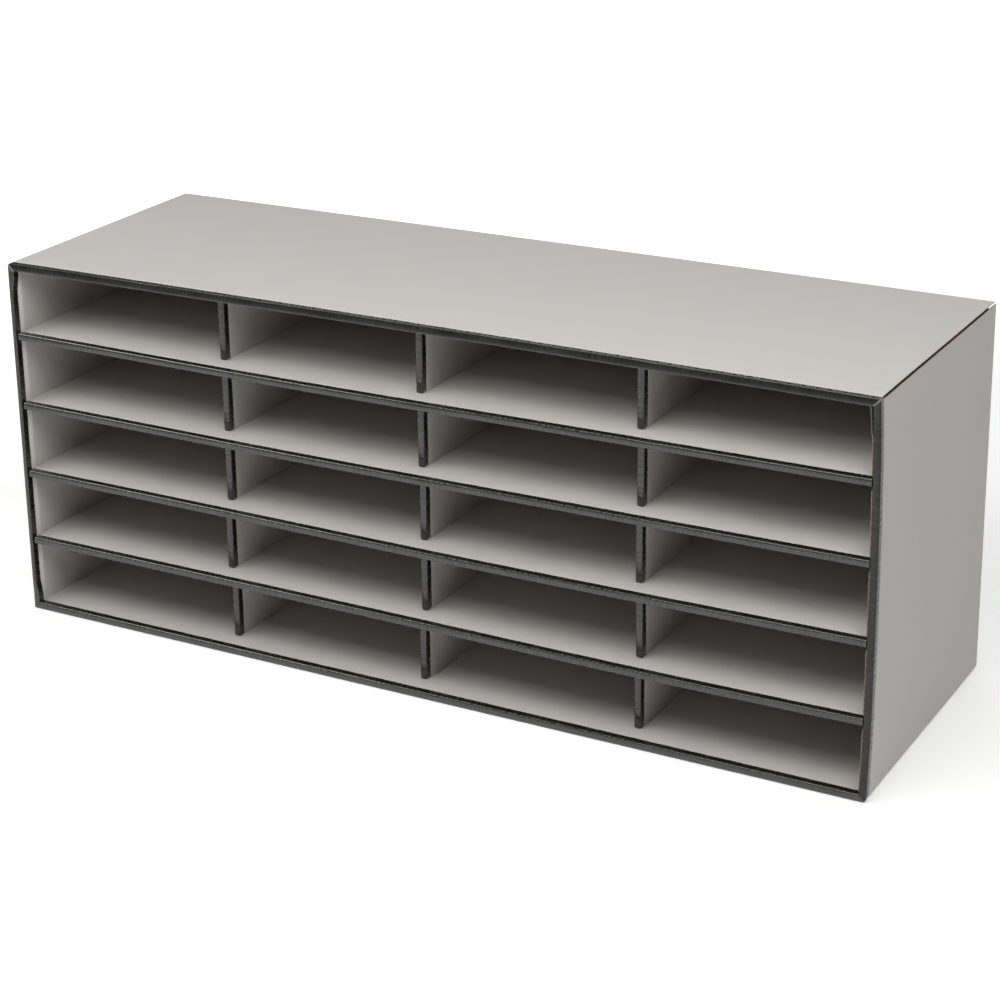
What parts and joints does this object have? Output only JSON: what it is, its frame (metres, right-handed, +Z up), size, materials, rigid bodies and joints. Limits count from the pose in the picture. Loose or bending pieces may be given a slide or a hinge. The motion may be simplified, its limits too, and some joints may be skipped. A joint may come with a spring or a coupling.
{
  "type": "literature sorter",
  "caption": "Free-standing corrugated-board literature sorter: a wide open-fronted casing of flat paper compartments with black plastic edge trims.",
  "frame": {"origin": "on the floor under the middle of the casing's bounding box", "axes": "+Z up, +X along the width to the right as seen from the front, and the open front faces -Y"},
  "size_m": [0.954, 0.316, 0.39],
  "materials": {
    "grey_board": "matte paper-faced corrugated board",
    "black_trim": "glossy extruded black PVC"
  },
  "bodies": {
    "root": {"top_panel": "grey_board", "base_panel": "grey_board", "left_panel": "grey_board", "right_panel": "grey_board", "back_panel": "grey_board", "shelf_1": "grey_board", "shelf_2": "grey_board", "shelf_3": "grey_board", "shelf_4": "grey_board", "divider_left": "grey_board", "divider_centre": "grey_board", "divider_right": "grey_board", "top_trim": "black_trim", "base_trim": "black_trim", "left_trim": "black_trim", "right_trim": "black_trim", "shelf_trim_1": "black_trim", "shelf_trim_2": "black_trim", "shelf_trim_3": "black_trim", "shelf_trim_4": "black_trim", "divider_left_trim_1": "black_trim", "divider_left_trim_2": "black_trim", "divider_left_trim_3": "black_trim", "divider_left_trim_4": "black_trim", "divider_left_trim_5": "black_trim", "divider_centre_trim_1": "black_trim", "divider_centre_trim_2": "black_trim", "divider_centre_trim_3": "black_trim", "divider_centre_trim_4": "black_trim", "divider_centre_trim_5": "black_trim", "divider_right_trim_1": "black_trim", "divider_right_trim_2": "black_trim", "divider_right_trim_3": "black_trim", "divider_right_trim_4": "black_trim", "divider_right_trim_5": "black_trim"}
  },
  "joints": []
}
